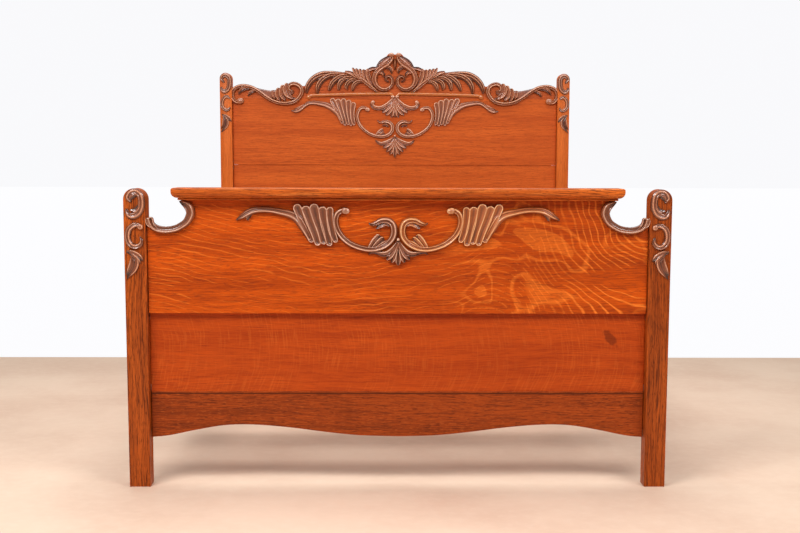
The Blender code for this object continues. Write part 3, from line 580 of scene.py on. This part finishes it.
def foot_drop_leaf():
    c = Carving("foot_drop_leaf", FOOT_BOARD_FACE, FOOT_RELIEF, mirrored=True)
    c.cut(round_bar, (0, 684, 4.5), (0.5, 683, 4.5))
    c.cut(flute, (0, 672, 3), (0, 645, 5.5), (0, 627, 7.5), (0, 617, 5))
    c.cut(rib, (2, 673, 3.5), (7, 650, 6), (12, 633, 7), (16, 624, 4.5))
    c.cut(rib, (3, 674, 3.5), (11, 655, 7), (20, 640, 8), (28, 631, 5))
    c.cut(rib_left, (3, 676, 3.5), (12, 660, 7), (25, 647, 8.5), (39, 643, 8), (54, 646, 5),
          (70, 648, 3.2), (80, 642, 1.5), over=0.05)
    return c


def foot_corner_scroll():
    c = Carving("foot_corner_scroll", FOOT_BOARD_FACE, FOOT_RELIEF + 2)
    c.cut(lip, (590, 785, 2), (578, 780, 8), (568, 774, 12), (562, 765, 13), (560, 753, 12.5),
          (564, 741, 12), (572, 729, 11), (586, 719, 10.5), (603, 711, 10.5), (625, 707.5, 10.5),
          (643, 709, 10.5), (657, 714, 10.5), (668, 724, 10), (672, 735, 8.5))
    c.cut(flute, (654, 714, 4), (663, 722, 6), (667, 737, 6.5), rise=1.15)
    c.cut(flute, (664, 716, 4), (674, 725, 5.5), (677, 736, 5), rise=1.05)
    return c


def foot_post_carving():
    c = Carving("foot_post_carving", FOOT_POST_FACE, POST_RELIEF)
    c.cut(double, (720, 785, 4), (726, 796, 7.5), (719, 808, 8.5), (706, 811, 9), (695, 803, 9.5),
          (691, 790, 9.5), (691, 773, 10), (697, 757, 10), (708, 748, 10), (719, 746, 8.5),
          (727, 752, 7), (731, 763, 4))
    c.cut(rib_left, (719, 762, 3), (707, 762, 6), (699, 770, 6), (695, 780, 3), rise=0.9)
    c.cut(rib, (722, 785, 3), (716, 796, 6), (708, 800, 4), rise=0.8)
    c.cut(double, (694, 717, 7), (704, 722, 7), (715, 719, 8), (725, 710, 8.5), (729, 696, 8.5),
          (728, 681, 8.5), (721, 668, 8.5), (709, 663, 8), (698, 667, 7), (692, 677, 6),
          (695, 688, 3))
    c.cut(round_bar, (694, 716, 7.5), (696, 717, 7.5), rise=1.1)
    c.cut(rib, (731, 650, 4), (716, 647, 7), (701, 638, 8), (691, 628, 4))
    c.cut(rib, (722, 644, 4), (710, 632, 8), (700, 622, 5.5))
    c.cut(rib, (712, 640, 5), (708, 622, 9), (713, 604, 9), (724, 589, 6), (733, 577, 2))
    c.cut(rib_left, (718, 636, 4), (720, 618, 7), (725, 604, 7), (733, 589, 2.5))
    return c


def head_scroll_branch():
    c = Carving("head_scroll_branch", HEAD_PANEL_FACE, PANEL_RELIEF)
    c.cut(double, (115, 1114, 6.5), (126, 1121, 7.5), (144, 1120, 8), (157, 1103, 8.4),
          (160, 1078, 8.4), (147, 1046, 8), (120, 1020, 7.6), (87, 1004, 7.6), (52, 1000, 8),
          (26, 1009, 8.5), (12, 1026, 9), (12, 1047, 9), (25, 1060, 8.5), (42, 1064, 7.5),
          (56, 1060, 6), (66, 1061, 4.5), (74, 1069, 2))
    c.cut(round_bar, (114, 1113, 8), (119, 1115, 8), rise=1.1)
    c.cut(rib, (79, 1005, 5), (67, 1017, 9), (56, 1027, 8), rise=1.1)
    c.cut(rib, (70, 1002, 4), (58, 1010, 7), (48, 1014, 5), rise=0.9)
    c.cut(rib_left, (28, 1042, 3), (38, 1049, 6.5), (52, 1046, 3), rise=0.8)
    c.cut(double, (226, 1070, 8), (240, 1096, 13), (262, 1117, 14), (292, 1132, 12),
          (328, 1140, 10), (352, 1142, 9), (370, 1138, 9), (388, 1126, 9), (404, 1114, 10),
          (421, 1107, 9), (440, 1107, 2))
    c.cut(rib_left, (380, 1134, 4), (396, 1124, 7), (412, 1118, 6), (424, 1116, 2.5), rise=0.9)
    for flute_line in (((264, 1150, 12), (247, 1115, 11), (233, 1083, 9), (224, 1060, 7)),
                       ((241, 1147, 12), (230, 1114, 11), (219, 1081, 9), (212, 1052, 7)),
                       ((218, 1149, 12), (213, 1116, 11), (206, 1084, 9), (199, 1055, 7)),
                       ((196, 1143, 12), (197, 1112, 11), (193, 1080, 9), (187, 1050, 7)),
                       ((176, 1134, 11), (181, 1106, 10), (180, 1078, 9), (174, 1054, 7))):
        c.cut(flute, *flute_line, over=0.06)
    return c


def head_top_leaf():
    c = Carving("head_top_leaf", HEAD_PANEL_FACE, PANEL_RELIEF, mirrored=True)
    c.cut(flute, (0, 1156, 5), (0, 1125, 8), (0, 1098, 8), (0, 1084, 4))
    c.cut(rib, (2, 1154, 5), (6, 1118, 9), (11, 1098, 9), (14, 1085, 5))
    c.cut(rib, (4, 1154, 5), (15, 1120, 10), (27, 1102, 9), (36, 1093, 5))
    c.cut(rib, (5, 1157, 5), (22, 1129, 11), (37, 1114, 10), (49, 1104, 6))
    c.cut(rib_left, (4, 1164, 5), (21, 1142, 10), (42, 1127, 10), (66, 1119, 9.5),
          (88, 1123, 9), (98, 1135, 8), (94, 1145, 7), over=0.05)
    c.cut(round_bar, (95, 1142, 8), (93, 1145, 8), rise=0.95, over=0.05)
    c.cut(round_bar, (8, 1167, 7), (12, 1168, 6), rise=0.95)
    return c


def head_drop_leaf():
    c = Carving("head_drop_leaf", HEAD_PANEL_FACE, PANEL_RELIEF, mirrored=True)
    c.cut(round_bar, (0, 1004, 4), (0.5, 1003, 4))
    c.cut(flute, (0, 990, 4), (0, 955, 8), (0, 930, 8), (0, 914, 4))
    c.cut(rib, (2, 990, 4), (7, 960, 8), (14, 938, 8), (20, 926, 4))
    c.cut(rib, (3, 990, 4), (14, 965, 9), (26, 947, 8), (34, 937, 4))
    c.cut(rib, (4, 991, 4), (21, 972, 9), (36, 960, 8), (47, 953, 4))
    c.cut(rib_left, (5, 996, 4), (20, 983, 8), (41, 973, 9), (58, 970, 8), (71, 975, 6),
          (81, 984, 3), over=0.05)
    return c


def head_bead():
    c = Carving("head_bead", HEAD_PANEL_FACE, PANEL_RELIEF - 2)
    c.cut(round_bar, (7, 1170, 5), (15, 1177, 6), (30, 1180, 6.5), (90, 1179, 6.5),
          (200, 1177, 6.5), (310, 1174, 6.5), (356, 1172, 6.5))
    c.cut(round_bar, (364, 1167, 9), (366, 1166, 9), rise=1.05)
    return c


def head_post_carving():
    c = Carving("head_post_carving", HEAD_POST_FACE, POST_RELIEF)
    c.cut(double, (723, 1227, 5), (731, 1240, 8), (727, 1250, 9), (715, 1254, 10),
          (704, 1248, 10), (699, 1236, 10.5), (699, 1218, 10.5), (703, 1201, 10.5), (712, 1190, 10),
          (722, 1187, 9), (730, 1193, 7), (733, 1204, 4))
    c.cut(double, (701, 1160, 5), (710, 1166, 7), (721, 1161, 7.5), (729, 1149, 8),
          (731, 1134, 8), (727, 1120, 8), (718, 1111, 7.5), (707, 1110, 7), (699, 1118, 4.5))
    c.cut(rib, (730, 1090, 3.5), (716, 1084, 7), (702, 1074, 7), (693, 1063, 3))
    c.cut(rib, (722, 1082, 4), (712, 1064, 9), (714, 1045, 9), (726, 1028, 5), (736, 1017, 1.5))
    c.cut(rib_left, (724, 1080, 3), (724, 1062, 7), (728, 1046, 6), (735, 1031, 2))
    return c


def crest_wing():
    c = Carving("crest_wing", HEAD_PANEL_FACE, CREST_RELIEF)
    c.cut(plain, (440, 1186, 12), (466, 1190, 15), (500, 1180, 16), (530, 1177, 16),
          (560, 1185, 13), (586, 1196, 8), rise=0.7)
    c.cut(rib_left, (516, 1188, 7), (515, 1174, 8), (508, 1160, 4), rise=0.8, over=0.10)
    c.cut(rib_left, (495, 1196, 9), (499, 1178, 10), (495, 1162, 8), (488, 1151, 4), rise=0.85,
          over=0.12)
    c.cut(rib_left, (476, 1207, 10), (482, 1187, 11), (478, 1168, 10), (466, 1155, 5), rise=0.9,
          over=0.14)
    c.cut(rib_left, (459, 1216, 9), (466, 1196, 12), (458, 1176, 11), (440, 1162, 6),
          (426, 1158, 2), rise=0.9, over=0.18)
    c.cut(rib, (449, 1176, 5), (438, 1165, 7), (424, 1160, 2), rise=0.8)
    c.cut(double, (652, 1146, 8), (671, 1144, 8.5), (685, 1156, 9), (690, 1176, 9.5),
          (684, 1194, 9.5), (667, 1206, 9), (645, 1211, 9), (618, 1208, 8.8), (595, 1199, 8.8),
          (572, 1185, 8.5), (546, 1166, 8.5), (516, 1149, 8.5), (486, 1140, 8.5),
          (456, 1139, 9), (426, 1147, 9.5), (405, 1165, 9.5), (395, 1186, 9.5),
          (398, 1204, 9.5), (412, 1217, 9), (432, 1221, 9), (447, 1214, 8.5), (452, 1201, 8),
          (444, 1191, 6.5), (433, 1192, 5))
    c.cut(round_bar, (653, 1149, 13), (658, 1148, 13), rise=1.05)
    c.cut(rib_left, (607, 1203, 5), (632, 1202, 10), (651, 1193, 9), (662, 1178, 3), rise=0.9)
    c.cut(rib_left, (584, 1192, 4), (604, 1188, 8), (616, 1179, 7), (622, 1170, 2.5), rise=0.85)
    return c


def crest_plume():
    c = Carving("crest_plume", HEAD_PANEL_FACE, CREST_RELIEF)
    c.cut(feather, (206, 1262, 7), (240, 1264, 9), (274, 1264, 12), (312, 1259, 14),
          (342, 1244, 14), (361, 1225, 13), (372, 1205, 11), (375, 1186, 6), rise=0.95)
    c.cut(feather, (200, 1258, 6), (240, 1260, 10), (274, 1256, 12), (297, 1246, 13),
          (316, 1229, 13), (327, 1208, 11), (329, 1186, 6))
    c.cut(feather, (190, 1252, 6), (226, 1253, 10), (249, 1241, 12), (267, 1223, 12),
          (278, 1198, 7), over=0.02)
    c.cut(feather, (170, 1244, 6), (200, 1246, 10), (219, 1238, 11), (234, 1222, 11.5),
          (238, 1200, 7), over=0.04)
    c.cut(feather, (154, 1237, 5), (182, 1236, 9), (198, 1226, 10.5), (206, 1212, 9.5),
          (203, 1200, 5), over=0.06)
    c.cut(feather, (134, 1230, 5), (159, 1228, 9), (174, 1216, 10.5), (180, 1197, 6), over=0.08)
    for shell in (((116, 1279, 7), (116, 1259, 9), (109, 1235, 8), (96, 1213, 4)),
                  ((133, 1275, 8), (131, 1256, 9), (122, 1235, 8), (107, 1219, 4)),
                  ((148, 1277, 8), (142, 1259, 9), (133, 1242, 8), (118, 1226, 4)),
                  ((163, 1280, 7), (155, 1263, 9), (144, 1247, 8), (129, 1233, 4)),
                  ((178, 1285, 5), (170, 1270, 8), (159, 1254, 8), (144, 1242, 4)),
                  ((208, 1272, 5), (189, 1267, 8), (170, 1256, 8), (152, 1243, 4))):
        c.cut(rib_left, *shell, rise=0.95, over=0.14)
    c.cut(lip, (211, 1268, 3), (180, 1260, 5.5), (150, 1246, 7), (122, 1226, 8),
          (98, 1206, 7), (80, 1192, 4), (70, 1188, 2), over=0.12)
    return c


def crest_cartouche():
    c = Carving("crest_cartouche", HEAD_PANEL_FACE, CREST_RELIEF, mirrored=True)
    c.cut(rib, (20, 1336, 6), (40, 1323, 11), (58, 1309, 12), (73, 1292, 8), rise=0.85)
    c.cut(rib, (82, 1287, 6), (98, 1285, 8), (114, 1278, 7), rise=0.8)
    c.cut(rib, (112, 1274, 6), (110, 1256, 7), (102, 1234, 6), (92, 1214, 3), rise=0.8)
    c.cut(double, (11, 1344, 6), (12, 1333, 8), (18, 1319, 10), (33, 1303, 11.5),
          (55, 1290, 12.5), (74, 1275, 13), (84, 1257, 13), (87, 1238, 12.5), (81, 1219, 11.5),
          (67, 1204, 10), (47, 1197, 9), (27, 1203, 9), (13, 1217, 9), (10, 1233, 8.5),
          (14, 1247, 8), (24, 1254, 7.5), (35, 1251, 6.5), (40, 1242, 6), (35, 1234, 5),
          (28, 1232, 4.5))
    c.cut(round_bar, (14, 1342, 10), (16, 1341, 10), rise=1.05)
    c.cut(rib, (44, 1292, 5), (28, 1290, 9), (16, 1280, 8), (14, 1266, 3), rise=0.95)
    c.cut(rib_left, (70, 1268, 5), (58, 1270, 8), (49, 1263, 7), (47, 1250, 2.5), rise=0.9)
    c.cut(vein, (0, 1322, 5), (0, 1304, 8), (0, 1280, 3), rise=0.85)
    return c


# ------------------------------------------------------------------ assembly of the looks

foot_board_finish = oak("wide_board_oak", BOARD_OAK, "x", foot_figure,
                        pores=0.4, grain=0.30)
lower_finish = oak("lower_panel_oak", LOWER_OAK, "x", panel_figure,
                   pores=0.2, grain=0.15, knots=((0.585, 0.410),))
apron_finish = oak("apron_oak", APRON_OAK, "x", apron_figure,
                   pores=0.6, grain=0.5, shift=(3.1, 0, 0.7), seams=(APRON_TOP,))
post_finish = oak("post_oak", POST_OAK, "z", pores=0.6, grain=0.8)
back_post_finish = oak("back_post_oak", BACK_OAK, "z", pores=0.25,
                       grain=0.35)
crest_finish = oak("crest_oak", CREST_OAK, "x", pores=0.4, grain=0.3)
cap_finish = oak("cap_oak", CAP_OAK, "x", cathedral_cap, pores=0.7,
                 grain=0.8)
head_finish = oak("head_panel_oak", HEAD_OAK, "x", pores=0.3, grain=0.3,
                  shift=(1.3, 0, 0))
rail_finish = oak("rail_oak", RAIL_OAK, "y", pores=0.4, grain=0.4)
bare_finish = oak("bare_wood", BARE_WOOD, "x", pores=0.5)
ledge_finish = oak("ledge_wood", BARE_WOOD, "y", pores=0.5)
# Each carved finish: base stain, a dark tone that also paints shade in low parts and hollows, and a
# pale tone that is painted highlight on the ridges.
CARVED = carved_finish("dark_carving", rgb(134, 70, 38), rgb(44, 16, 4), rgb(232, 184, 156))
# A brighter, warmer copy of the carved finish: painted light, for the side the lamp fell on.
CARVED_WARM = carved_finish("warm_carving", rgb(172, 90, 38), rgb(72, 28, 6), rgb(246, 190, 136))
CREST = carved_finish("crest_carving", rgb(156, 82, 46), rgb(62, 26, 12), rgb(232, 174, 138))
PANEL_CARVED = carved_finish("panel_carving", rgb(164, 88, 50), rgb(70, 30, 12), rgb(238, 186, 156))
POST_CARVED = carved_finish("post_carving", rgb(124, 60, 28), rgb(42, 16, 4), rgb(214, 148, 112))
BEAD = carved_finish("bead_oak", rgb(176, 84, 26), rgb(90, 38, 10), rgb(226, 138, 60))


def steel_finish():
    f = Finish("dull_steel", roughness=0.5, metallic=1.0)
    where = f.place()
    patch = f.noise(where, 60.0, 4.0)
    fine = f.noise(where, 900.0, 2.0)
    f.colour(f.mix(patch.step(0.45, 0.7), rgb(120, 116, 110), rgb(84, 62, 48)))
    f.roughness(0.42 + 0.3 * patch)
    f.bump(fine, 0.0002, 0.3)
    return f.material


steel = steel_finish()
NODE_FINISHES = {
    "foot_upper_board": foot_board_finish, "foot_lower_panel": lower_finish,
    "foot_apron": apron_finish, "foot_back_batten": bare_finish,
    "foot_cap_rail": cap_finish, "foot_cap_fillet": cap_finish,
    "head_crest_board": crest_finish, "head_upper_panel": head_finish,
    "head_lower_panel": head_finish, "head_bottom_rail": apron_finish,
}


def eased(node_name, finish, body, width):
    """A merged copy of a CAD piece with its outer edges rounded over by width, in mm."""
    bm = bmesh.new()
    bm.from_mesh(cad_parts[node_name].data)
    bmesh.ops.remove_doubles(bm, verts=bm.verts, dist=0.01 * MM)
    bmesh.ops.dissolve_limit(bm, angle_limit=math.radians(1), verts=bm.verts, edges=bm.edges)
    low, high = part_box(node_name)
    outer = []
    for edge in bm.edges:
        middle = (edge.verts[0].co + edge.verts[1].co) / 2
        sides = sum(abs(middle[i] - end[i]) < 0.05 * MM for i in range(3) for end in (low, high))
        front = abs(middle.y - low.y) < 0.05 * MM
        if (sides > 1 or front) and edge.is_manifold and edge.calc_face_angle() > 0.7:
            outer.append(edge)
    bmesh.ops.bevel(bm, geom=outer, offset=width * MM, offset_type="OFFSET", segments=2,
                    profile=0.5, affect="EDGES", clamp_overlap=True, material=-1)
    return show(node_name + "_eased", bm, finish, body, node_name, math.radians(30))


for node_name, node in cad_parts.items():
    finish = NODE_FINISHES.get(node_name)
    if node_name in ("foot_post_left", "foot_post_right"):
        finish = post_finish
    if node_name in ("head_post_left", "head_post_right"):
        finish = back_post_finish
    if node_name.startswith("side_rail"):
        finish = rail_finish
    if node_name.startswith("slat_ledge"):
        finish = ledge_finish
    elif node_name.startswith("slat_"):
        finish = bare_finish
    if node_name.startswith(("hook_plate", "lower_pin", "upper_pin")):
        finish = steel
    if finish:
        node.data.materials.clear()
        node.data.materials.append(finish)

for side in ("left", "right"):
    eased("foot_post_" + side, post_finish, "ends", 2.5)
    eased("head_post_" + side, back_post_finish, "ends", 2.5)
    eased("side_rail_" + side, rail_finish, "side_frame", 2.0)
for count in range(1, 6):
    eased("slat_%d" % count, bare_finish, "slat_%d" % count, 1.5)

# The right-hand scroll takes the brighter, warmer copy: painted light falling more on the right than
# on its mirror.
carve_pair(foot_scroll_branch(), CARVED_WARM, CARVED)
carve_centre(foot_drop_leaf(), CARVED)
carve_pair(foot_corner_scroll(), CARVED, CARVED)
carve_pair(foot_post_carving(), POST_CARVED, POST_CARVED)
carve_pair(head_scroll_branch(), PANEL_CARVED, PANEL_CARVED)
carve_centre(head_top_leaf(), PANEL_CARVED)
carve_centre(head_drop_leaf(), PANEL_CARVED)
carve_pair(head_bead(), BEAD, BEAD)
carve_pair(head_post_carving(), POST_CARVED, POST_CARVED)
carve_pair(crest_wing(), CREST, CREST)
carve_pair(crest_plume(), CREST, CREST)
carve_centre(crest_cartouche(), CREST)


# ------------------------------------------------------------------ studio

FLOOR_END = 1.30                    # the floor turns to the white of the backdrop here
BACKDROP = (0.95, 0.95, 0.97, 1)


def floor():
    bm = bmesh.new()
    bmesh.ops.create_grid(bm, x_segments=1, y_segments=1, size=40)
    mesh = bpy.data.meshes.new("floor")
    bm.to_mesh(mesh)
    bm.free()
    f = Finish("pale_floor", roughness=0.6)
    where = f.place()
    x, y, z = f.axes(where)
    mottled = f.noise(where, 1.7, 5.0, 0.6)
    fine = f.noise(where, 30.0, 4.0, 0.6)
    sand = f.mix(mottled.step(0.35, 0.7), rgb(236, 208, 184), rgb(224, 192, 168))
    sand = f.mix(fine.step(0.4, 0.7) * 0.2, sand, rgb(244, 220, 200))
    beyond = y.step(FLOOR_END - 0.01, FLOOR_END + 0.01)
    f.colour(f.mix(beyond, sand, (0, 0, 0, 1)))
    f.feed(f.shader.inputs["Emission Color"], f.mix(beyond, (0, 0, 0, 1), BACKDROP))
    f.shader.inputs["Emission Strength"].default_value = 1.0
    f.shader.inputs["Specular IOR Level"].default_value = 0.2
    mesh.materials.append(f.material)
    obj = bpy.data.objects.new("floor", mesh)
    bpy.context.scene.collection.objects.link(obj)


def area_light(name, place, aim, size, power, colour=(1, 1, 1)):
    light = bpy.data.lights.new(name, "AREA")
    light.shape = "RECTANGLE"
    light.size, light.size_y = size
    light.energy = power
    light.color = colour
    obj = bpy.data.objects.new(name, light)
    obj.location = place
    obj.rotation_euler = (Vector(aim) - Vector(place)).to_track_quat("-Z", "Y").to_euler()
    bpy.context.scene.collection.objects.link(obj)


def studio():
    """Soft light: a dim white room, which the camera sees bright, and three large panels."""
    world = bpy.data.worlds.new("soft_white")
    bpy.context.scene.world = world
    world.use_nodes = True
    tree = world.node_tree
    room = tree.nodes["Background"]
    room.inputs["Color"].default_value = (1, 1, 1, 1)
    room.inputs["Strength"].default_value = 0.30
    seen = tree.nodes.new("ShaderNodeBackground")
    seen.inputs["Color"].default_value = BACKDROP
    path = tree.nodes.new("ShaderNodeLightPath")
    blend = tree.nodes.new("ShaderNodeMixShader")
    tree.links.new(path.outputs["Is Camera Ray"], blend.inputs[0])
    tree.links.new(room.outputs[0], blend.inputs[1])
    tree.links.new(seen.outputs[0], blend.inputs[2])
    tree.links.new(blend.outputs[0], tree.nodes["World Output"].inputs[0])
    area_light("key", (-1.5, -2.9, 2.9), (0, -0.4, 0.7), (1.6, 0.9), 82)
    area_light("fill", (1.9, -3.1, 2.7), (0, -0.4, 0.7), (1.6, 0.9), 52)
    area_light("top", (0, 0.2, 3.6), (0, 0.1, 0), (3.4, 2.6), 84)


def camera():
    lens = bpy.data.cameras.new("camera")
    lens.sensor_width = 36
    lens.lens = 55.98
    lens.shift_y = 0.0454
    obj = bpy.data.objects.new("camera", lens)
    obj.location = (-0.026, FOOT_POST_FACE - 3.3595, 0.8908)
    turn = Matrix.Rotation(-0.0093, 4, "Z") @ Matrix.Rotation(math.pi / 2 - 0.1124, 4, "X")
    obj.rotation_euler = (turn @ Matrix.Rotation(0.0024, 4, "Z")).to_euler()
    bpy.context.scene.collection.objects.link(obj)
    bpy.context.scene.camera = obj


bpy.context.scene.view_settings.view_transform = "Standard"
floor()
studio()
camera()
